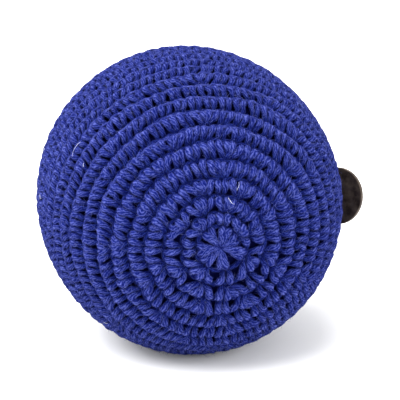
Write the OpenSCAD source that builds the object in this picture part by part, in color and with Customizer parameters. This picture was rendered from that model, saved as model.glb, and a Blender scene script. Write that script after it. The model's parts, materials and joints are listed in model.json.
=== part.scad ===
// Crocheted juggling ball: a cover worked in spiral rounds, a liner pouch full of
// pellets, and a small round tag hanging on a thread loop.
// The crochet axis runs along Y, with the starting ring at the front (-Y).
// The ball rests on a small flat at z = 0, straight below its centre.

/* [Ball] */
// Diameter of the cover at its widest round
ball_d = 62.3; // [58:0.1:68]
// Length of the cover along its crochet axis
ball_l = 65.4; // [62:0.1:68]
// Squareness of the outline: 2 is an ellipse, higher is more of a barrel
squareness = 2.3; // [2.1:0.05:2.6]
// How deep the weight of the filling presses the flat that the ball rests on
rest_depth = 1.2; // [0.8:0.1:1.6]

/* [Cover] */
// Number of crochet rounds from the starting ring to the closing ring
rounds = 27; // [23:2:31]
// Thickness of the crocheted fabric
cover_t = 2.8; // [2.4:0.1:3]
// Depth of the furrow between two rounds
furrow = 0.55; // [0.2:0.05:0.8]
// Diameter of the yarn
yarn_d = 1.3; // [1:0.1:1.5]
// Diameter of the opening left at each end for the ring that draws it together
end_hole_d = 4.8; // [4.6:0.1:5.2]

/* [Liner and filling] */
// Thickness of the liner cloth
liner_t = 0.4; // [0.3:0.05:0.6]
// Width of the liner's seam allowance, turned inwards
seam_w = 3; // [2:0.5:4]
// Diameter of one pellet
pellet_d = 5.8; // [5:0.1:7]

/* [Tag] */
// Diameter of the tag
tag_d = 12; // [11:0.5:13]
// Thickness of the tag
tag_t = 0.8; // [0.6:0.1:1]
// Diameter of the hole in the tag
tag_hole_d = 2.2; // [2.1:0.1:2.4]
// Distance from the tag's centre to its hole
tag_hole_at = 4.2; // [4.1:0.05:4.3]
// Diameter of the loop's thread
thread_d = 0.7; // [0.5:0.1:0.8]

/* [Hidden] */

yarn_blue = [0.17, 0.2, 0.52];
thread_blue = [0.12, 0.14, 0.36];
liner_cream = [0.86, 0.82, 0.72];
pellet_cream = [0.9, 0.86, 0.74];
bronze_brown = [0.25, 0.21, 0.18];

smooth = 96;
// Smallest gap left between pieces that lie together.
fit_gap = 0.05;
ball_r = ball_d / 2;
half_l = ball_l / 2;
centre_z = ball_r - rest_depth;
ball_centre = [0, 0, centre_z];

// Outline of the ball. Angle 0 is on the widest round and 90 on the starting end;
// each point is [distance from the axis, distance along the axis].
function outline_reach(angle, r, l) =
    1 / pow(pow(abs(cos(angle)) / r, squareness) + pow(abs(sin(angle)) / l, squareness), 1 / squareness);
function outline(angle, r = ball_r, l = half_l) =
    outline_reach(angle, r, l) * [cos(angle), sin(angle)];
normal_step = 0.5;
function outline_normal(angle) =
    let (step = outline(angle + normal_step) - outline(angle - normal_step))
    [step[1], -step[0]] / norm(step);
function inset(angle, depth) = outline(angle) - depth * outline_normal(angle);
// How far the outline reaches along one axis, at a distance along the other.
function reach_at(distance, end, widest) = widest * pow(1 - pow(distance / end, squareness), 1 / squareness);

// Arc length along the outline, as pairs of [length, angle], for spacing the rounds.
arc_step = 1;
arc_table = [for (
    angle = -90, length = 0;
    angle <= 90;
    length = length + norm(outline(angle + arc_step) - outline(angle)), angle = angle + arc_step
    ) [length, angle]];
arc_total = arc_table[len(arc_table) - 1][0];

// Cover: one ridge a round, with a sharp furrow between rounds.
points_per_round = 8;
inner_step = 4;
inner_end = 88;
end_hole_r = end_hole_d / 2;
ridge_count = rounds * points_per_round;
function ridge_point(i) =
    let (angle = lookup(arc_total * i / ridge_count, arc_table))
    inset(angle, furrow * (1 - abs(sin(180 * i / points_per_round))));
outer_points = [for (i = [0:ridge_count]) ridge_point(i)];
inner_points = [for (angle = [-inner_end:inner_step:inner_end]) inset(angle, cover_t)];
function beyond_hole(points) = [for (p = points) if (p[0] > end_hole_r + fit_gap) p];

// Shapes made round the crochet axis are turned to lie along Y.
module on_axis() {
    translate(ball_centre) rotate([90, 0, 0]) children();
}

module resting_cut() {
    translate([-ball_d, -ball_d, -ball_d]) cube([2 * ball_d, 2 * ball_d, ball_d]);
}

module cover_wall() {
    wall_outer = beyond_hole(outer_points);
    wall_inner = beyond_hole(inner_points);
    top_y = wall_outer[len(wall_outer) - 1][1];
    inner_y = wall_inner[len(wall_inner) - 1][1];
    lip = [[end_hole_r, top_y], [end_hole_r, inner_y]];
    foot = [[end_hole_r, -inner_y], [end_hole_r, -top_y]];
    rotate_extrude($fn = smooth)
        polygon(concat(wall_outer, lip, [for (i = [len(wall_inner) - 1:-1:0]) wall_inner[i]], foot));
}

module crochet_cover() {
    color(yarn_blue) difference() {
        on_axis() cover_wall();
        resting_cut();
        anchor_legs();
    }
}

// Rings of yarn that draw the two ends together.
ring_yarn_r = yarn_d / 2;
ring_r = end_hole_r - fit_gap - ring_yarn_r;
ring_depth = 1;

module end_ring() {
    translate([0, 0, half_l - ring_depth])
        rotate_extrude($fn = smooth) translate([ring_r, 0]) circle(r = ring_yarn_r, $fn = 32);
}

module starting_ring() {
    color(yarn_blue) on_axis() end_ring();
}

module closing_ring() {
    color(yarn_blue) on_axis() mirror([0, 0, 1]) end_ring();
}

knot_r = 0.9;
module finishing_knot() {
    color(yarn_blue) on_axis() translate([0, 0, -(half_l - ring_depth)]) sphere(r = knot_r, $fn = 32);
}

// A tube swept along a path. Each point has a reference direction across the path.
tube_sides = 8;
function unit(v) = v / norm(v);
function tube_ring(point, along, across, r) =
    let (side = unit(cross(across, along)), up = cross(along, side))
    [for (k = [0:tube_sides - 1])
        point + r * (cos(360 * k / tube_sides) * side + sin(360 * k / tube_sides) * up)];
function wall_faces(a, b) =
    [for (k = [0:tube_sides - 1]) let (next = (k + 1) % tube_sides)
        each [[a + k, b + k, b + next], [a + k, b + next, a + next]]];

module open_tube(path, across, r) {
    last = len(path) - 1;
    rings = [for (i = [0:last])
        tube_ring(path[i], unit(path[min(i + 1, last)] - path[max(i - 1, 0)]), across, r)];
    walls = [for (i = [0:last - 1]) each wall_faces(i * tube_sides, (i + 1) * tube_sides)];
    near_cap = [for (k = [0:tube_sides - 1]) k];
    far_cap = [for (k = [tube_sides - 1:-1:0]) last * tube_sides + k];
    polyhedron(points = [for (ring = rings) each ring], faces = concat(walls, [near_cap, far_cap]));
}

module closed_tube(path, across, r) {
    count = len(path);
    rings = [for (i = [0:count - 1])
        tube_ring(path[i], unit(path[(i + 1) % count] - path[(i + count - 1) % count]), across[i], r)];
    walls = [for (i = [0:count - 1]) each wall_faces(i * tube_sides, ((i + 1) % count) * tube_sides)];
    polyhedron(points = [for (ring = rings) each ring], faces = walls);
}

// Tails of yarn, from an end ring to between the cover and the liner.
tail_r = 0.5;
tail_room = 0.68;
tail_lay = cover_t + tail_room;
tail_start = ring_r - 0.35;
tail_turn_r = 1.4;
tail_turn_step = 15;
tail_straight = 3.4;
tail_reach = 11;
starting_tail_way = 200;
finishing_tail_way = 40;
tail_path = concat(
    [for (a = [0:tail_turn_step:90]) [
        tail_start + tail_turn_r * (1 - cos(a)), 0, half_l - tail_lay + tail_turn_r * (1 - sin(a))]],
    [for (x = [tail_straight:1:tail_reach]) [x, 0, reach_at(x, ball_r, half_l) - tail_lay]]);

module yarn_tail(turned) {
    rotate([0, 0, turned]) open_tube(tail_path, [0, 1, 0], tail_r);
}

module starting_tail() {
    color(yarn_blue) on_axis() yarn_tail(starting_tail_way);
}

module finishing_tail() {
    color(yarn_blue) on_axis() mirror([0, 0, 1]) yarn_tail(finishing_tail_way);
}

// Liner pouch: two cloth panels, sewn together with their edges turned inwards.
liner_gap = 0.15;
liner_end_gap = 1.5;
liner_r = ball_r - cover_t - liner_gap;
liner_l = half_l - cover_t - liner_end_gap;
liner_step = 3;

module liner_panel() {
    shell = [for (angle = [0:liner_step:90]) outline(angle, liner_r, liner_l)];
    inside = [for (angle = [90:-liner_step:liner_step])
        outline(angle, liner_r - liner_t, liner_l - liner_t)];
    hem_r = liner_r - seam_w;
    hem = [[liner_r - liner_t, liner_t + fit_gap], [hem_r, liner_t + fit_gap], [hem_r, fit_gap],
        [liner_r, fit_gap]];
    rotate_extrude($fn = smooth)
        polygon(concat([for (p = shell) if (p[1] > fit_gap) p], inside, hem));
}

module liner_front_panel() {
    color(liner_cream) on_axis() liner_panel();
}

module liner_back_panel() {
    color(liner_cream) on_axis() mirror([0, 0, 1]) liner_panel();
}

// The seam's thread lies along the two turned edges.
seam_thread_r = 0.35;
module liner_seam_thread() {
    color(liner_cream) on_axis()
        rotate_extrude($fn = smooth)
            translate([liner_r - seam_w - seam_thread_r - fit_gap, 0])
                circle(r = seam_thread_r, $fn = 24);
}

// Pellets, stacked in close-packed layers inside the liner and clear of its seam.
pellet_r = pellet_d / 2;
pellet_gap = 0.2;
pellet_seam_gap = 0.3;
pellet_pitch = pellet_d + pellet_gap;
layer_pitch = pellet_pitch * sqrt(2 / 3);
row_pitch = pellet_pitch * sqrt(3) / 2;
fill_r = liner_r - liner_t - pellet_r - pellet_gap;
fill_l = liner_l - liner_t - pellet_r - pellet_gap;
seam_keep_r = liner_r - seam_w - 2 * seam_thread_r - pellet_r - pellet_seam_gap;
seam_keep_h = liner_t + pellet_r + pellet_seam_gap;
cells = ceil(ball_r / row_pitch) + 1;
function fits(p) =
    let (r = norm([p[0], p[1]]), h = abs(p[2]))
    pow(r / fill_r, squareness) + pow(h / fill_l, squareness) < 1 && !(h < seam_keep_h && r > seam_keep_r);

module filling_pellets() {
    color(pellet_cream) on_axis()
        for (layer = [-cells:cells], row = [-cells:cells], place = [-cells:cells]) {
            shift = abs(layer % 2);
            centre = [
                (place + abs(row % 2) / 2 + shift / 2) * pellet_pitch,
                (row + shift / 3) * row_pitch,
                layer * layer_pitch];
            if (fits(centre)) translate(centre) sphere(r = pellet_r, $fn = 24);
        }
}

// Tag and its loop. The loop hangs on a strand of the cover that stands a little proud.
anchor_y = 13.5;
anchor_angle = 8;
anchor_stand = 2.1;
anchor_yarn_r = 0.55;
anchor_bend_r = 1.35;
anchor_leg = 3.2;
anchor_surface = reach_at(anchor_y, half_l, ball_r);
anchor_normal = [cos(anchor_angle), 0, sin(anchor_angle)];
anchor_at = ball_centre + [0, anchor_y, 0] + (anchor_surface + anchor_stand) * anchor_normal;

module anchor_legs() {
    translate(anchor_at) rotate([0, -anchor_angle, 0])
        for (side = [-1, 1])
            translate([-anchor_bend_r - anchor_leg, side * anchor_bend_r, 0])
                rotate([0, 90, 0]) cylinder(r = anchor_yarn_r, h = anchor_leg, $fn = 32);
}

module tag_anchor_stitch() {
    color(yarn_blue) {
        anchor_legs();
        translate(anchor_at) rotate([0, -anchor_angle, 0]) translate([-anchor_bend_r, 0, 0])
            rotate([0, 0, -90]) rotate_extrude(angle = 180, $fn = smooth)
                translate([anchor_bend_r, 0]) circle(r = anchor_yarn_r, $fn = 32);
    }
}

// The tag faces outwards and leans its inner edge towards the cover.
tag_r = tag_d / 2;
tag_hole_r = tag_hole_d / 2;
tag_azimuth = 43.7;
tag_lean = 12.7;
tag_roll = 33.5;
tag_edge = 0.12;
tag_at = ball_centre + [34.1, 9.8, -4.3];
tag_face = [cos(tag_lean) * cos(tag_azimuth), cos(tag_lean) * sin(tag_azimuth), -sin(tag_lean)];
tag_across = [-sin(tag_azimuth), cos(tag_azimuth), 0];
tag_up = cross(tag_face, tag_across);
hole_way = cos(tag_roll) * tag_up + sin(tag_roll) * tag_across;
hole_at = tag_at + tag_hole_at * hole_way;

module round_tag() {
    rim = [[0, -tag_t / 2], [tag_r - tag_edge, -tag_t / 2], [tag_r, -tag_t / 2 + tag_edge],
        [tag_r, tag_t / 2 - tag_edge], [tag_r - tag_edge, tag_t / 2], [0, tag_t / 2]];
    color(bronze_brown) difference() {
        translate(tag_at) rotate([0, 90 + tag_lean, tag_azimuth])
            rotate_extrude($fn = smooth) polygon(rim);
        translate(hole_at) rotate([0, 90 + tag_lean, tag_azimuth])
            cylinder(r = tag_hole_r, h = 3 * tag_t, center = true, $fn = 48);
    }
}

// Loop: one closed thread, round the anchor strand at one end and through the hole in the
// tag at the other, with a part turn between its ends.
thread_r = thread_d / 2;
loop_bend_r = 1.5;
thread_rise = 0.25;
thread_at = hole_at + thread_rise * hole_way;
loop_way = unit(thread_at - anchor_at);
loop_low = thread_at - loop_bend_r * loop_way;
function square_to_loop(v) = unit(v - (v * loop_way) * loop_way);
loop_side_top = square_to_loop(anchor_normal);
loop_side_low = square_to_loop(tag_face);
bend_step = 15;
strand_steps = 8;
function loop_side(s) = unit((1 - s) * loop_side_top + s * loop_side_low);
function bend_point(centre, way, side, a) = centre + loop_bend_r * (cos(a) * way + sin(a) * side);
function strand_point(s, sign) =
    anchor_at + s * (loop_low - anchor_at) + sign * loop_bend_r * loop_side(s);
top_angles = [for (a = [-90:bend_step:90]) a];
low_angles = [for (a = [90:-bend_step:-90]) a];
strand_shares = [for (i = [1:strand_steps - 1]) i / strand_steps];
loop_path = concat(
    [for (a = top_angles) bend_point(anchor_at, -loop_way, loop_side_top, a)],
    [for (s = strand_shares) strand_point(s, 1)],
    [for (a = low_angles) bend_point(loop_low, loop_way, loop_side_low, a)],
    [for (s = strand_shares) strand_point(1 - s, -1)]);
loop_across = concat(
    [for (a = top_angles) cross(loop_way, loop_side_top)],
    [for (s = strand_shares) cross(loop_way, loop_side(s))],
    [for (a = low_angles) cross(loop_way, loop_side_low)],
    [for (s = strand_shares) cross(loop_way, loop_side(1 - s))]);

module tag_loop() {
    color(thread_blue) closed_tube(loop_path, loop_across, thread_r);
}

loop_knot_r = 0.62;
loop_knot_share = 0.35;
module tag_loop_knot() {
    color(thread_blue) translate(strand_point(loop_knot_share, 1)) sphere(r = loop_knot_r, $fn = 24);
}

crochet_cover();
starting_ring();
starting_tail();
closing_ring();
finishing_knot();
finishing_tail();
liner_front_panel();
liner_back_panel();
liner_seam_thread();
filling_pellets();
tag_anchor_stitch();
tag_loop();
tag_loop_knot();
round_tag();
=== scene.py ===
"""Looks for the crocheted juggling ball: every stitch as plied yarn, in one spiral from the ring."""

import json
import math

import bpy
import numpy as np
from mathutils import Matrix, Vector


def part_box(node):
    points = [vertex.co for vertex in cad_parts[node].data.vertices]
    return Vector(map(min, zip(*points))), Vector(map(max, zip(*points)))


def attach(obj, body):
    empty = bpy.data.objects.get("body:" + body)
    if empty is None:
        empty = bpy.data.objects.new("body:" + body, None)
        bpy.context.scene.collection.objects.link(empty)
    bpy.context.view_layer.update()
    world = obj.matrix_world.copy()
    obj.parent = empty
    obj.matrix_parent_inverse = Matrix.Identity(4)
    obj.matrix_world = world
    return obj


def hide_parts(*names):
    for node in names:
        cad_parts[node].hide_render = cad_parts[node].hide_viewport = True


MM = 0.001
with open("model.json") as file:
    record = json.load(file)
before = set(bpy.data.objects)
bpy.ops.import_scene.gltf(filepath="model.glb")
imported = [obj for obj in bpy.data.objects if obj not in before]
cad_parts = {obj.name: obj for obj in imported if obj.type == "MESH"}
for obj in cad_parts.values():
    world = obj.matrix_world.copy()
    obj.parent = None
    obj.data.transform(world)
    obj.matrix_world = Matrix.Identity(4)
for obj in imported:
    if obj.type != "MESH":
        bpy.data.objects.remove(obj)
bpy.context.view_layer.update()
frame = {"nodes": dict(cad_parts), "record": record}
scene = bpy.context.scene

# ---------------------------------------------------------------- where the ball is, from the frame
cover_low, cover_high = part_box("crochet_cover")
BALL_R = (cover_high.x - cover_low.x) / 2
CENTRE = Vector(
    ((cover_low.x + cover_high.x) / 2, (cover_low.y + cover_high.y) / 2, cover_high.z - BALL_R)
)
RING_INSET = 0.35 * MM  # the starting ring's front lies this far inside the outline's end
HALF_L = CENTRE.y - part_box("starting_ring")[0].y + RING_INSET
SQUARENESS = 2.3

# ---------------------------------------------------------------- camera
CAM_AZIMUTH = math.radians(11.4)  # a little to the left of the starting ring's end
CAM_ELEVATION = math.radians(17.5)
CAM_DISTANCE = 0.8
VIEW_WIDTH = 0.0827  # what the picture spans at the ball's distance
SHIFT_RIGHT, SHIFT_UP = 0.00232, -0.0001  # from the ball's centre to the picture's centre

flat_back = Vector((-math.sin(CAM_AZIMUTH), -math.cos(CAM_AZIMUTH), 0))
cam_right = Vector((math.cos(CAM_AZIMUTH), -math.sin(CAM_AZIMUTH), 0))
cam_back = math.cos(CAM_ELEVATION) * flat_back + math.sin(CAM_ELEVATION) * Vector((0, 0, 1))
cam_up = cam_back.cross(cam_right)
cam_data = bpy.data.cameras.new("camera")
cam_data.sensor_width = 36
cam_data.lens = cam_data.sensor_width * CAM_DISTANCE / VIEW_WIDTH
cam_data.clip_start, cam_data.clip_end = 0.05, 20
camera = bpy.data.objects.new("camera", cam_data)
scene.collection.objects.link(camera)
camera.location = CENTRE + SHIFT_RIGHT * cam_right + SHIFT_UP * cam_up + CAM_DISTANCE * cam_back
camera.rotation_mode = "QUATERNION"
camera.rotation_quaternion = cam_back.to_track_quat("Z", "Y")
scene.camera = camera


# ---------------------------------------------------------------- materials
def shader(name):
    mat = bpy.data.materials.new(name)
    mat.use_nodes = True
    nodes = mat.node_tree.nodes
    return mat, nodes, mat.node_tree.links, nodes["Principled BSDF"]


def ramp(nodes, stops):
    node = nodes.new("ShaderNodeValToRGB")
    elements = node.color_ramp.elements
    while len(elements) < len(stops):
        elements.new(0.5)
    for element, (at, colour) in zip(elements, stops):
        element.position = at
        element.color = (*colour, 1)
    return node


def noise(nodes, links, vector, scale, detail, roughness=0.55):
    node = nodes.new("ShaderNodeTexNoise")
    node.inputs["Scale"].default_value = scale
    node.inputs["Detail"].default_value = detail
    node.inputs["Roughness"].default_value = roughness
    links.new(vector, node.inputs["Vector"])
    return node


def math_node(nodes, links, operation, first, second, third=None):
    """A maths node. Each input is a socket or a number."""
    node = nodes.new("ShaderNodeMath")
    node.operation = operation
    for socket, value in zip(node.inputs, (first, second, third)):
        if isinstance(value, (int, float)):
            socket.default_value = value
        elif value is not None:
            links.new(value, socket)
    return node.outputs[0]


PLY_BANDS = 2.513  # wave scale that gives one band for each of the eight plies


def yarn_material(name, dark, middle, light, sheen=0.02, painted_shade_tint=(0.16, 0.24, 0.46)):
    """Spun yarn: twisted plies with painted shade between them, fine fibres along each, uneven dye, and
    painted shade that darkens each point by how deep it lies below the crests.
    """
    mat, nodes, links, bsdf = shader(name)
    uv = nodes.new("ShaderNodeUVMap")
    uv.uv_map = "along"
    plies = nodes.new("ShaderNodeTexWave")
    plies.wave_type, plies.bands_direction, plies.wave_profile = "BANDS", "Y", "SIN"
    plies.inputs["Scale"].default_value = PLY_BANDS
    plies.inputs["Distortion"].default_value = 7.0
    plies.inputs["Detail"].default_value = 2
    plies.inputs["Detail Scale"].default_value = 2.0
    plies.inputs["Phase Offset"].default_value = -math.pi / 2
    links.new(uv.outputs["UV"], plies.inputs["Vector"])
    stretch = nodes.new("ShaderNodeMapping")
    stretch.inputs["Scale"].default_value = (7.0, 26.0, 1.0)
    links.new(uv.outputs["UV"], stretch.inputs["Vector"])
    fibres = noise(nodes, links, stretch.outputs["Vector"], 2.0, 3, 0.7)
    coords = nodes.new("ShaderNodeTexCoord")
    blotch = noise(nodes, links, coords.outputs["Object"], 1250, 3, 0.65)
    # The ply bands darken the colour between the plies as painted shade in those creases; the fibre
    # streaks and the blotches are the yarn's own uneven tone.
    raised = math_node(nodes, links, "MULTIPLY_ADD", plies.outputs["Fac"], 0.20, 0.0)
    plies_and_fibres = math_node(nodes, links, "MULTIPLY_ADD", fibres.outputs["Fac"], 0.42, raised)
    relief = math_node(nodes, links, "MULTIPLY_ADD", blotch.outputs["Fac"], 0.45, plies_and_fibres)
    colours = ramp(nodes, [(0.38, dark), (0.52, middle), (0.67, light)])
    links.new(relief, colours.inputs["Fac"])
    # Painted shade: the rise attribute, how deep a point lies, darkens the colour in the grooves, the
    # holes and at each strand's sides, and leaves it lightest at the crests.
    height = nodes.new("ShaderNodeAttribute")
    height.attribute_name = "rise"
    shade = nodes.new("ShaderNodeMapRange")
    shade.inputs["From Min"].default_value = -0.85
    shade.inputs["From Max"].default_value = 0.12
    links.new(height.outputs["Fac"], shade.inputs["Value"])
    shade_ramp = ramp(nodes, [(0.0, painted_shade_tint), (0.75, (0.74, 0.77, 0.84)), (1.0, (1.0, 1.0, 1.0))])
    links.new(shade.outputs["Result"], shade_ramp.inputs["Fac"])
    painted_shade_colour = nodes.new("ShaderNodeVectorMath")
    painted_shade_colour.operation = "MULTIPLY"
    links.new(colours.outputs["Color"], painted_shade_colour.inputs[0])
    links.new(shade_ramp.outputs["Color"], painted_shade_colour.inputs[1])
    links.new(painted_shade_colour.outputs["Vector"], bsdf.inputs["Base Color"])
    bump = nodes.new("ShaderNodeBump")
    bump.inputs["Strength"].default_value = 1.0
    bump.inputs["Distance"].default_value = 0.00028
    links.new(relief, bump.inputs["Height"])
    links.new(bump.outputs["Normal"], bsdf.inputs["Normal"])
    bsdf.inputs["Roughness"].default_value = 0.85
    bsdf.inputs["Specular IOR Level"].default_value = 0.02
    bsdf.inputs["Sheen Weight"].default_value = sheen
    bsdf.inputs["Sheen Roughness"].default_value = 0.5
    bsdf.inputs["Sheen Tint"].default_value = (0.75, 0.8, 1.0, 1)
    return mat


def fibre_material(name, dark, light):
    """Single fibres, some paler than others."""
    mat, nodes, links, bsdf = shader(name)
    coords = nodes.new("ShaderNodeTexCoord")
    tone = noise(nodes, links, coords.outputs["Object"], 700, 2)
    colours = ramp(nodes, [(0.35, dark), (0.65, light)])
    links.new(tone.outputs["Fac"], colours.inputs["Fac"])
    links.new(colours.outputs["Color"], bsdf.inputs["Base Color"])
    bsdf.inputs["Roughness"].default_value = 0.7
    bsdf.inputs["Specular IOR Level"].default_value = 0.2
    return mat


YARN = yarn_material(
    "blue_yarn", (0.002, 0.005, 0.078), (0.012, 0.020, 0.148), (0.078, 0.094, 0.320)
)
# A near-black blue that stands in for the shade seen through the holes between stitches: painted shade.
SHADE_SHELL_YARN = yarn_material(
    "shaded_yarn",
    (0.0015, 0.003, 0.040),
    (0.003, 0.005, 0.060),
    (0.006, 0.009, 0.085),
    sheen=0.0,
    painted_shade_tint=(1.0, 1.0, 1.0),
)


def speckled(name, dark, light, scale, roughness, metallic=0.0, bump_depth=0.00005):
    """A plain finish with a fine uneven tone and relief."""
    mat, nodes, links, bsdf = shader(name)
    coords = nodes.new("ShaderNodeTexCoord")
    tone = noise(nodes, links, coords.outputs["Object"], scale, 4, 0.6)
    colours = ramp(nodes, [(0.35, dark), (0.65, light)])
    links.new(tone.outputs["Fac"], colours.inputs["Fac"])
    links.new(colours.outputs["Color"], bsdf.inputs["Base Color"])
    bump = nodes.new("ShaderNodeBump")
    bump.inputs["Strength"].default_value = 0.5
    bump.inputs["Distance"].default_value = bump_depth
    links.new(tone.outputs["Fac"], bump.inputs["Height"])
    links.new(bump.outputs["Normal"], bsdf.inputs["Normal"])
    bsdf.inputs["Roughness"].default_value = roughness
    bsdf.inputs["Metallic"].default_value = metallic
    return mat


CAD_LOOKS = {
    "cover_yarn": speckled("plain_blue_yarn", (0.004, 0.007, 0.06), (0.05, 0.065, 0.30), 2600, 0.9),
    "liner_cloth": speckled("liner", (0.52, 0.48, 0.37), (0.68, 0.64, 0.52), 1800, 0.95),
    "pellets": speckled("pellets", (0.55, 0.52, 0.44), (0.70, 0.67, 0.58), 500, 0.6),
    "loop_thread": speckled("dark_thread", (0.006, 0.008, 0.035), (0.030, 0.036, 0.13), 3000, 0.7),
    "tag_metal": speckled(
        "aged_bronze", (0.026, 0.018, 0.015), (0.100, 0.076, 0.058), 520, 0.42, 0.75, 0.00002
    ),
}
slot_of = {part["node"]: part["material_slot"] for part in frame["record"]["subparts"]}
for node_name, node_object in frame["nodes"].items():
    for i in range(len(node_object.data.materials)):
        node_object.data.materials[i] = CAD_LOOKS[slot_of[node_name]]

# ---------------------------------------------------------------- outline of the ball
turn = np.linspace(0, math.pi, 4000)
fine_rho = BALL_R * np.abs(np.sin(turn)) ** (2 / SQUARENESS)
fine_y = -HALF_L * np.sign(np.cos(turn)) * np.abs(np.cos(turn)) ** (2 / SQUARENESS)
fine_arc = np.concatenate([[0], np.cumsum(np.hypot(np.diff(fine_rho), np.diff(fine_y)))])
ARC_TOTAL = fine_arc[-1]
ARC = np.linspace(0, ARC_TOTAL, 2000)
RHO = np.interp(ARC, fine_arc, fine_rho)
AXIAL = np.interp(ARC, fine_arc, fine_y)
slope_rho, slope_y = np.gradient(RHO, ARC), np.gradient(AXIAL, ARC)
slope = np.hypot(slope_rho, slope_y)
NORMAL_RHO, NORMAL_Y = slope_y / slope, -slope_rho / slope

FLOOR_SOFTNESS = 0.45 * MM
FLOOR_CLEAR = 0.02 * MM
FIBRE_CLEAR = 0.06 * MM  # the same for fibres and lint, at their middle lines


def outline(s):
    return (np.interp(s, ARC, t) for t in (RHO, AXIAL, NORMAL_RHO, NORMAL_Y))


def surface(s, phi, height):
    """Points at a height above the outline, s along from the starting ring and phi round the axis."""
    rho, y, n_rho, n_y = outline(s)
    out = rho + height * n_rho
    base_z = CENTRE.z + rho * np.sin(phi)
    lift = (base_z + np.sqrt(base_z**2 + FLOOR_SOFTNESS**2)) / 2 - base_z
    return np.stack(
        [
            CENTRE.x + out * np.cos(phi),
            CENTRE.y + y + height * n_y,
            CENTRE.z + out * np.sin(phi) + lift,
        ],
        -1,
    )


def surface_normal(s, phi):
    _, _, n_rho, n_y = outline(s)
    return np.stack([n_rho * np.cos(phi), n_y, n_rho * np.sin(phi)], -1)


# ---------------------------------------------------------------- meshes from arrays
def build_mesh(name, points, quads, ends, material, uv=None, uv_ends=None, rise=None):
    """One object from points, four-sided faces and end caps."""
    mesh = bpy.data.meshes.new(name)
    mesh.vertices.add(len(points))
    mesh.vertices.foreach_set("co", points.astype(np.float32).ravel())
    corners = np.concatenate([quads.ravel(), ends.ravel()]) if len(ends) else quads.ravel()
    mesh.loops.add(len(corners))
    mesh.loops.foreach_set("vertex_index", corners.astype(np.int32))
    starts = np.arange(len(quads)) * 4
    if len(ends):
        starts = np.concatenate([starts, quads.size + np.arange(len(ends)) * ends.shape[1]])
    mesh.polygons.add(len(starts))
    mesh.polygons.foreach_set("loop_start", starts.astype(np.int32))
    mesh.polygons.foreach_set("use_smooth", np.ones(len(starts), bool))
    mesh.update(calc_edges=True)
    if uv is not None:
        layer = mesh.uv_layers.new(name="along")
        flat = np.concatenate([uv.reshape(-1, 2), uv_ends.reshape(-1, 2)]) if len(ends) else uv
        layer.data.foreach_set("uv", flat.astype(np.float32).ravel())
    if rise is not None:
        layer = mesh.attributes.new("rise", "FLOAT", "POINT")
        layer.data.foreach_set("value", (rise / MM).astype(np.float32))
    mesh.materials.append(material)
    ob = bpy.data.objects.new(name, mesh)
    scene.collection.objects.link(ob)
    return ob


LOBES = 8
LOBE_SHAPE = np.array([0.88, 1.05])  # the groove between two plies, then the next ply's crest
SIDES = LOBES * len(LOBE_SHAPE)
TWIST_LENGTH = 9.5 * MM
TEXTURE_LENGTH = 4 * MM  # strand length to one unit of texture
FLAT_SHARE = 0.1  # how little the painted shade by depth follows the roundness of each strand


def unit(v):
    return v / np.maximum(np.linalg.norm(v, axis=-1, keepdims=True), 1e-12)


def strands(paths, ups, radius, phase, level, wide=1.12, thin=0.9):
    """Plied strands along paths[n, m, 3]. Gives points, faces, caps and their texture coordinates."""
    n, m, _ = paths.shape
    along = unit(np.gradient(paths, axis=1))
    up = unit(ups - (ups * along).sum(-1, keepdims=True) * along)
    side = np.cross(along, up)
    steps = np.linalg.norm(np.diff(paths, axis=1), axis=-1)
    length = np.concatenate([np.zeros((n, 1)), np.cumsum(steps, axis=1)], axis=1)
    angle = np.arange(SIDES) * 2 * math.pi / SIDES
    lobe = np.tile(LOBE_SHAPE, LOBES)
    turned = angle + phase[:, None, None] - 2 * math.pi * (length / TWIST_LENGTH)[:, :, None]
    r = radius[:, :, None] * lobe
    points = (
        paths[:, :, None]
        + (r * np.cos(turned) * thin)[..., None] * up[:, :, None]
        + (r * np.sin(turned) * wide)[..., None] * side[:, :, None]
    )
    points[..., 2] = np.maximum(points[..., 2], FLOOR_CLEAR)
    # rise, the depth below the crest, drives the painted shade in the yarn: lower points and each
    # strand's sides come out darker.
    rise = level[:, :, None] + r * (FLAT_SHARE + (1 - FLAT_SHARE) * np.cos(turned) * thin)
    base = (np.arange(n) * m * SIDES)[:, None, None]
    i, k = np.arange(m - 1)[None, :, None], np.arange(SIDES)[None, None, :]
    k2 = (k + 1) % SIDES
    quads = np.stack(
        [
            base + i * SIDES + k,
            base + i * SIDES + k2,
            base + (i + 1) * SIDES + k2,
            base + (i + 1) * SIDES + k,
        ],
        -1,
    ).reshape(-1, 4)
    ring = np.arange(SIDES)
    caps = np.concatenate(
        [base[:, :, 0] + ring[::-1], base[:, :, 0] + (m - 1) * SIDES + ring]
    ).reshape(-1, SIDES)
    along_u = length[:, :, None] / TEXTURE_LENGTH + (np.arange(n) * 7.3 % 50)[:, None, None]
    u = along_u[:, :-1] + np.zeros((1, 1, SIDES))
    u2 = along_u[:, 1:] + np.zeros((1, 1, SIDES))
    v = k / SIDES + np.zeros((n, m - 1, SIDES))
    v2 = v + 1 / SIDES
    corners = ((u, v), (u, v2), (u2, v2), (u2, v))
    uv = np.stack([np.stack(c, -1) for c in corners], -2).reshape(-1, 4, 2)
    uv_caps = np.zeros((len(caps), SIDES, 2)) + 0.1 * np.stack([np.cos(angle), np.sin(angle)], -1)
    return points.reshape(-1, 3), quads, caps, uv, uv_caps, rise.ravel()


def gather(parts):
    """Joins the arrays of several strands() into one set."""
    shift, out = 0, [[], [], [], [], [], []]
    for points, quads, caps, uv, uv_caps, rise in parts:
        for store, value in zip(out, (points, quads + shift, caps + shift, uv, uv_caps, rise)):
            store.append(value)
        shift += len(points)
    return [np.concatenate(x) for x in out]


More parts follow.
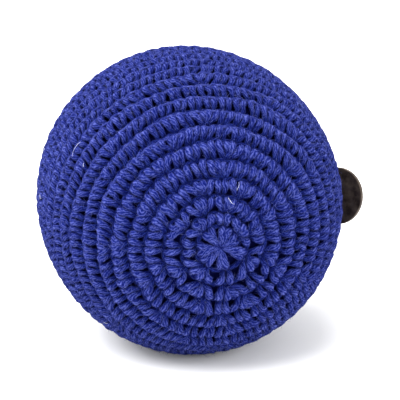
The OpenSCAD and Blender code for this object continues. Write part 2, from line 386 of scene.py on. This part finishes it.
def smooth_curve(controls, count):
    """Catmull-Rom through controls[n, c, ...], evenly in the parameter."""
    c = controls.shape[1]
    t = np.linspace(0, c - 1, count)
    i = np.clip(t.astype(int), 0, c - 2)
    f = (t - i).reshape((1, -1) + (1,) * (controls.ndim - 2))
    p0, p1 = controls[:, np.maximum(i - 1, 0)], controls[:, i]
    p2, p3 = controls[:, i + 1], controls[:, np.minimum(i + 2, c - 1)]
    return 0.5 * (
        2 * p1
        + (p2 - p0) * f
        + (2 * p0 - 5 * p1 + 4 * p2 - p3) * f**2
        + (3 * p1 - p0 - 3 * p2 + p3) * f**3
    )


# ---------------------------------------------------------------- the spiral of stitches
STITCH_W = 3.15 * MM
FIRST_TOP = 4.2 * MM
CLOSE_GAP = 0.7 * MM
ROUNDS = 26
START_LAG, START_RATE = 0.6, 1.5  # how the spiral's growth is held back over its first turns
PITCH = (ARC_TOTAL - FIRST_TOP - CLOSE_GAP) / (ROUNDS - START_LAG)
FIRST_COUNT = 7
rng = np.random.default_rng(7)

WANDER_TURNS = np.array([3.37, 5.81, 9.23, 15.61])  # waves a turn, none of them whole
WANDER_SIZE = np.array([0.05, 0.045, 0.04, 0.03])
wander_phase = rng.uniform(0, 2 * math.pi, len(WANDER_TURNS))


def row_top(k, f):
    """Arc length of the top of round k (1 is the first), a fraction f of the way round."""
    t = np.asarray(k - 1 + f, float)
    wander = (np.sin(2 * math.pi * WANDER_TURNS * t[..., None] + wander_phase) * WANDER_SIZE).sum(-1)
    ends = np.clip(t / 3, 0, 1) * np.clip((ROUNDS - t) / 3, 0, 1)
    return FIRST_TOP + PITCH * (t - START_LAG * (1 - np.exp(-START_RATE * t)) + wander * ends)


counts = [1]
for k in range(1, ROUNDS + 1):
    middle = float(np.interp(row_top(k, 0.5) - PITCH / 2, ARC, RHO))
    counts.append(FIRST_COUNT if k == 1 else max(FIRST_COUNT, round(2 * math.pi * middle / STITCH_W)))

LEG_V = np.array([0.0, 0.08, 0.22, 0.44, 0.66, 0.82, 0.91])
LEG_U = np.array([0.12, 0.16, 0.21, 0.245, 0.26, 0.29, 0.34])
LEG_LEAN = -0.10  # the whole stitch leans back as it rises
LEG_PARENT = np.array([1.0, 0.95, 0.7, 0.35, 0.10, 0.0, 0.0])  # pull to the stitch below
LOOSE_PARENT = 0.35  # a share of LEG_PARENT, in rounds with fewer stitches than the last
LEG_H = np.array([-1.6, -1.25, -0.72, -0.24, 0.08, -0.42, -1.5]) * MM
LEG_R = np.array([0.5, 0.52, 0.57, 0.68, 0.80, 0.64, 0.5]) * MM
SLIM_R = np.array([0.5, 0.48, 0.50, 0.58, 0.74, 0.62, 0.5]) * MM  # where the front loops show
LEG_FRONT = {-1: -0.06 * MM, 1: 0.0}  # one leg of each stitch lies a little over the other
FIRST_V = np.array([0.0, 0.12, 0.3, 0.52, 0.74, 0.86, 0.95])
FIRST_U = np.array([0.16, 0.16, 0.145, 0.15, 0.18, 0.23, 0.27])
FIRST_H = np.array([-0.7, -0.3, -0.15, -0.05, -0.05, -0.5, -1.7]) * MM
FIRST_R = np.array([0.32, 0.42, 0.58, 0.72, 0.80, 0.66, 0.5]) * MM
FIRST_WANDER = 0.12  # how unevenly the first stitches sit round the ring
LEG_SAMPLES = 16
CLOSE_COUNT = 7  # the last stitches, drawn together over the far end
CLOSE_START = 0.4  # how far down the last round they begin, in rounds
CLOSE_END = 0.25 * MM
CLOSE_V = np.array([0.0, 0.12, 0.26, 0.48, 0.70, 0.88, 1.0])
CLOSE_U = FIRST_U[::-1]
CLOSE_H = np.array([-1.2, -0.45, -0.08, -0.05, -0.15, -0.35, -0.7]) * MM
CLOSE_R = FIRST_R[::-1]
LOOP_U = np.array([-0.60, -0.46, -0.22, 0.06, 0.30, 0.50, 0.60])
LOOP_V = np.array([-0.31, -0.30, -0.27, -0.25, -0.24, -0.25, -0.27])  # from the round's top edge
LOOP_H = np.array([-0.40, -0.14, 0.04, 0.10, 0.06, -0.12, -0.40]) * MM
LOOP_R = np.array([0.22, 0.26, 0.29, 0.30, 0.29, 0.26, 0.22]) * MM
LOOP_FROM, LOOP_FULL = 6, 10  # the rounds over which the front loops come to show
LOOP_SAMPLES = 10
BAR_U = np.array([-0.62, -0.45, -0.22, 0.0, 0.22, 0.45, 0.62])
BAR_V = np.array([-0.04, -0.03, -0.05, -0.08, -0.05, -0.03, -0.04])
BAR_H = np.array([-1.1, -0.9, -1.1, -1.4, -1.1, -0.9, -1.1]) * MM
BAR_R = np.full(7, 0.48) * MM
BAR_SAMPLES = 8
GROUPS = 12


first_shift = rng.normal(0, 1, FIRST_COUNT)
CREST = slice(4, 13)  # the samples of a leg that lie on the outside
crests = []


def loops_show(k):
    """How far the front loops have come to show at round k, from 0 to 1."""
    return min(1.0, max(0.0, (k - LOOP_FROM) / (LOOP_FULL - LOOP_FROM)))


def leg_set(k, sign):
    """The legs of one side of every stitch in round k."""
    n = counts[k]
    j = np.arange(n)
    own = (j + 0.5) / n
    if k == 1:
        own = own + FIRST_WANDER * first_shift / n
        parent, v, u, h, r = own, FIRST_V, FIRST_U, FIRST_H, FIRST_R
    else:
        parent = (np.floor((j + 0.5) * counts[k - 1] / n) + 0.5) / counts[k - 1]
        slim = loops_show(k)
        v, u, h, r = LEG_V, LEG_U, LEG_H, LEG_R * (1 - slim) + SLIM_R * slim
    grip = 0.0 if k == 1 else LOOSE_PARENT if counts[k] < counts[k - 1] else 1.0
    follow = LEG_PARENT * grip
    centre = own[:, None] * (1 - follow) + parent[:, None] * follow
    jitter = rng.normal(0, 1, (n, len(v), 4))
    f = centre + (sign * u + LEG_LEAN * (v - 0.5) + 0.038 * jitter[..., 0]) / n
    vv = v + 0.03 * jitter[..., 1]
    round_f = np.clip(f, 0, 1)
    low = row_top(k - 1, round_f) if k > 1 else np.full_like(round_f, 0.25 * MM)
    s = low + vv * (row_top(k, round_f) - low)
    height = h + LEG_FRONT[sign] + 0.08 * MM * np.clip(jitter[..., 2], -2, 1)
    radius = r * (1 + 0.06 * rng.normal(0, 1, (n, 1)) + 0.06 * jitter[..., 3])
    controls = np.stack([s, f * 2 * math.pi, height - radius, radius], -1)
    fine = smooth_curve(controls, LEG_SAMPLES)
    s, phi, level, radius = (fine[..., i] for i in range(4))
    paths = surface(s, phi, level)
    ups = surface_normal(s, phi)
    crests.append((paths[:, CREST], ups[:, CREST], radius[:, CREST]))
    return strands(paths, ups, radius, rng.uniform(0, 2 * math.pi, n), level)


def closing_set(sign):
    """The legs drawn together over the far end."""
    n = CLOSE_COUNT
    jitter = rng.normal(0, 1, (n, len(CLOSE_V), 3))
    own = (np.arange(n)[:, None] + 0.5 + 0.1 * jitter[:, :1, 0]) / n
    f = own + (sign * CLOSE_U + 0.04 * jitter[..., 1]) / n
    start = row_top(ROUNDS, np.clip(f, 0, 1)) - CLOSE_START * PITCH
    s = start + CLOSE_V * (ARC_TOTAL - CLOSE_END - start)
    radius = CLOSE_R + np.zeros((n, 1))
    controls = np.stack([s, f * 2 * math.pi, CLOSE_H + 0.06 * MM * jitter[..., 2] - radius, radius], -1)
    fine = smooth_curve(controls, LEG_SAMPLES)
    s, phi, level, radius = (fine[..., i] for i in range(4))
    phase = rng.uniform(0, 2 * math.pi, n)
    return strands(surface(s, phi, level), surface_normal(s, phi), radius, phase, level)


def loop_set(k, u, v, h, r, count):
    """Strands along the top of round k: its front loops, or the bars that show between rounds."""
    n = counts[k]
    jitter = rng.normal(0, 1, (n, len(u), 3))
    f = (np.arange(n)[:, None] + 0.5 + u + 0.02 * jitter[..., 0]) / n
    s = row_top(k, np.clip(f, 0, 1)) + (v + 0.015 * jitter[..., 1]) * PITCH
    radius = r * (1 + 0.06 * rng.normal(0, 1, (n, 1)))
    height = h + 0.05 * MM * jitter[..., 2]
    controls = np.stack([s, f * 2 * math.pi, height - radius, radius], -1)
    fine = smooth_curve(controls, count)
    s, phi, level, radius = (fine[..., i] for i in range(4))
    phase = rng.uniform(0, 2 * math.pi, n)
    return strands(surface(s, phi, level), surface_normal(s, phi), radius, phase, level)


def front_loops(k):
    """The thin front loops that run along each round's crest, from where they come to show."""
    show = loops_show(k)
    if show == 0:
        return []
    sunk = LOOP_H - (1 - show) * 0.3 * MM
    return [loop_set(k, LOOP_U, LOOP_V, sunk, LOOP_R, LOOP_SAMPLES)]


total = sum(counts[1:])
group_parts, done = [[] for _ in range(GROUPS)], 0
for k in range(1, ROUNDS + 1):
    group = min(GROUPS - 1, int(GROUPS * (done + counts[k] / 2) / total))
    group_parts[group] += [
        leg_set(k, -1),
        leg_set(k, 1),
        loop_set(k, BAR_U, BAR_V, BAR_H, BAR_R, BAR_SAMPLES),
        *front_loops(k),
    ]
    done += counts[k]
group_parts[-1] += [closing_set(-1), closing_set(1)]

for g, parts in enumerate(group_parts):
    points, quads, caps, uv, uv_caps, rise = gather(parts)
    piece = build_mesh(f"stitches_{g + 1}", points, quads, caps, YARN, uv, uv_caps, rise)
    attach(piece, "ball")
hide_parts("crochet_cover", "starting_ring")
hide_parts("closing_ring", "finishing_knot")

# ---------------------------------------------------------------- loose fibres that stand off the yarn
FUZZ_COUNT = 13000
FUZZ_STEPS = 5
FUZZ_SIDES = 3
FUZZ_STAND = 0.2 * MM
FUZZ_SINK = 0.05 * MM
FUZZ_ROOT = 0.97  # where each fibre starts, as a share of the strand's radius
FUZZ_LEAN = 1.2  # how far round the strand's side a root may lie, in radians
FUZZ_OUT, FUZZ_ALONG = 0.45, 0.8  # how much each fibre points out, and how much along the surface


def thin_tubes(line, thick, out):
    """Fine three-sided fibres along line[n, m, 3], with their radii thick[n, m]."""
    n, m, _ = line.shape
    tangent = unit(np.gradient(line, axis=1))
    across = unit(np.cross(tangent, out + 0.01))
    other = np.cross(tangent, across)
    angle = np.arange(FUZZ_SIDES) * 2 * math.pi / FUZZ_SIDES
    points = line[:, :, None] + thick[:, :, None, None] * (
        np.cos(angle)[:, None] * across[:, :, None] + np.sin(angle)[:, None] * other[:, :, None]
    )
    base = (np.arange(n) * m * FUZZ_SIDES)[:, None, None]
    i, k = np.arange(m - 1)[None, :, None], np.arange(FUZZ_SIDES)[None, None, :]
    k2 = (k + 1) % FUZZ_SIDES
    near, far = base + i * FUZZ_SIDES, base + (i + 1) * FUZZ_SIDES
    quads = np.stack([near + k, near + k2, far + k2, far + k], -1).reshape(-1, 4)
    tri = np.arange(FUZZ_SIDES)
    caps = np.concatenate(
        [base[:, :, 0] + tri[::-1], base[:, :, 0] + (m - 1) * FUZZ_SIDES + tri]
    ).reshape(-1, FUZZ_SIDES)
    return points.reshape(-1, 3), quads, caps


def fuzz(count):
    """Fine curved fibres, rooted on the legs of the stitches."""
    paths, ups, radii = (np.concatenate(x) for x in zip(*crests))
    pick = rng.integers(0, len(paths), count)
    place = rng.integers(1, paths.shape[1] - 1, count)
    root, up, r = paths[pick, place], unit(ups[pick, place]), radii[pick, place]
    along = unit(paths[pick, place + 1] - paths[pick, place - 1])
    up = unit(up - (up * along).sum(-1, keepdims=True) * along)
    side = np.cross(along, up)
    lean = rng.uniform(-FUZZ_LEAN, FUZZ_LEAN, count)[:, None]
    out = np.cos(lean) * up + np.sin(lean) * side
    root = root + out * (r * FUZZ_ROOT)[:, None]
    spread = rng.normal(0, 1, (count, 2))
    way = unit(
        FUZZ_OUT * out * rng.uniform(0.2, 1.2, (count, 1))
        + spread[:, :1] * FUZZ_ALONG * along
        + spread[:, 1:] * FUZZ_ALONG * np.cross(along, out)
    )
    curl = unit(rng.normal(0, 1, (count, 3))) * rng.uniform(0.2, 1.2, (count, 1))
    length = rng.uniform(0.4, 1.3, count) * MM
    t = np.linspace(0, 1, FUZZ_STEPS)[None, :, None]
    line = root[:, None] + length[:, None, None] * (way[:, None] * t + 0.5 * curl[:, None] * t**2)
    above = ((line - root[:, None]) * out[:, None]).sum(-1, keepdims=True)
    wanted = np.clip(above, -FUZZ_SINK, FUZZ_STAND)
    line = line + (wanted - above) * out[:, None]
    line[..., 2] = np.maximum(line[..., 2], FIBRE_CLEAR)
    thick = rng.uniform(0.016, 0.030, count)[:, None] * MM * np.linspace(1, 0.5, FUZZ_STEPS)
    return thin_tubes(line, thick, out[:, None])


FIBRE = fibre_material("blue_fibre", (0.010, 0.016, 0.12), (0.09, 0.11, 0.34))
for g in range(2):
    points, quads, caps = fuzz(FUZZ_COUNT // 2)
    piece = build_mesh(f"yarn_fibres_{g + 1}", points, quads, caps, FIBRE)
    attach(piece, "ball")

# Pale lint caught on the yarn, scattered by chance.
LINT_COUNT = 14
LINT_POINTS = 6
LINT_STEPS = 24
LINT_SHORTEST, LINT_SPREAD = 0.8 * MM, 7.5 * MM  # the least length, and how much more it may be
LINT_RISE = 0.16 * MM
LINT_R = 0.045 * MM
LINT_BEND, LINT_WIGGLE = 0.5, 0.25  # radians a step
LINT_FIBRE = fibre_material("pale_lint", (0.30, 0.32, 0.45), (0.62, 0.64, 0.74))


def lint_ways(count):
    """Curling ways over the surface, most of them short: arc length, angle and height."""
    s = ARC_TOTAL * rng.uniform(0.1, 0.9, count)
    phi = rng.uniform(0, 2 * math.pi, count)
    step = (LINT_SHORTEST + LINT_SPREAD * rng.uniform(0, 1, count) ** 3) / (LINT_POINTS - 1)
    heading = rng.uniform(0, 2 * math.pi, count)
    bend = rng.uniform(-LINT_BEND, LINT_BEND, count)
    controls = []
    for _ in range(LINT_POINTS):
        controls.append(np.stack([s, phi, np.full(count, LINT_RISE)], -1))
        phi = phi + step * np.sin(heading) / np.interp(s, ARC, RHO)
        s = s + step * np.cos(heading)
        heading = heading + bend + rng.normal(0, LINT_WIGGLE, count)
    return smooth_curve(np.stack(controls, 1), LINT_STEPS)


lint = lint_ways(LINT_COUNT)
s, phi, level = (lint[..., i] for i in range(3))
line = surface(s, phi, level)
line[..., 2] = np.maximum(line[..., 2], FIBRE_CLEAR)
taper = 0.6 + 0.4 * np.sin(np.linspace(0, math.pi, LINT_STEPS))
thick = LINT_R * taper + np.zeros((LINT_COUNT, 1))
piece = build_mesh("lint", *thin_tubes(line, thick, surface_normal(s, phi)), LINT_FIBRE)
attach(piece, "ball")

# ---------------------------------------------------------------- a dark shell painted as the shade inside the fabric's holes
BACK_DEPTH = 2.3 * MM
BACK_END = 0.3 * MM
BACK_ROWS, BACK_COLUMNS = 160, 180
back_s = np.linspace(BACK_END, ARC_TOTAL - BACK_END, BACK_ROWS)
back_phi = np.linspace(0, 2 * math.pi, BACK_COLUMNS + 1)[:-1]
s_grid, phi_grid = np.meshgrid(back_s, back_phi, indexing="ij")
back_points = surface(s_grid, phi_grid, np.full_like(s_grid, -BACK_DEPTH)).reshape(-1, 3)
i, k = np.meshgrid(np.arange(len(back_s) - 1), np.arange(len(back_phi)), indexing="ij")
k2 = (k + 1) % len(back_phi)
row = len(back_phi)
near, far = i * row, (i + 1) * row
back_quads = np.stack([near + k, far + k, far + k2, near + k2], -1).reshape(-1, 4)
back_ends = np.stack([np.arange(row), (len(back_s) - 1) * row + np.arange(row)[::-1]])
back_uv = np.zeros((len(back_quads), 4, 2))
back_uv[..., 0] = s_grid.ravel()[back_quads] / TEXTURE_LENGTH
back_uv[..., 1] = phi_grid.ravel()[back_quads] * 6
shade_shell = build_mesh(
    "painted_shade_shell", back_points, back_quads, back_ends, SHADE_SHELL_YARN, back_uv, np.zeros((2, row, 2))
)
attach(shade_shell, "ball")

# ---------------------------------------------------------------- floor, light
floor_mat, nodes, links, bsdf = shader("floor")
coords = nodes.new("ShaderNodeTexCoord")
grain = noise(nodes, links, coords.outputs["Object"], 40, 2)
tone = ramp(nodes, [(0.0, (0.86, 0.86, 0.86)), (1.0, (0.90, 0.90, 0.90))])
links.new(grain.outputs["Fac"], tone.inputs["Fac"])
links.new(tone.outputs["Color"], bsdf.inputs["Base Color"])
bsdf.inputs["Roughness"].default_value = 0.9
FLOOR_HALF = 6.0
mesh = bpy.data.meshes.new("floor")
floor_corners = [(x * FLOOR_HALF, y * FLOOR_HALF, 0) for x, y in ((-1, -1), (1, -1), (1, 1), (-1, 1))]
mesh.from_pydata(floor_corners, [], [(0, 1, 2, 3)])
mesh.materials.append(floor_mat)
floor = bpy.data.objects.new("floor", mesh)
scene.collection.objects.link(floor)

world = bpy.data.worlds.new("studio")
scene.world = world
world.use_nodes = True
world.node_tree.nodes["Background"].inputs["Color"].default_value = (1, 1, 1, 1)
world.node_tree.nodes["Background"].inputs["Strength"].default_value = 1.15


def area_light(name, location, size, power):
    data = bpy.data.lights.new(name, "AREA")
    data.shape = "DISK"
    data.size = size
    data.energy = power
    ob = bpy.data.objects.new(name, data)
    scene.collection.objects.link(ob)
    ob.location = CENTRE + location
    ob.rotation_mode = "QUATERNION"
    ob.rotation_quaternion = location.to_track_quat("Z", "Y")


area_light("key", Vector((-0.35, -0.1, 0.8)), 1.1, 20)
area_light("left", Vector((-0.8, 0.1, 0.35)), 0.8, 5)
area_light("fill", Vector((0.7, -0.55, 0.2)), 0.9, 9)

scene.view_settings.view_transform = "Standard"
scene.view_settings.look = "None"
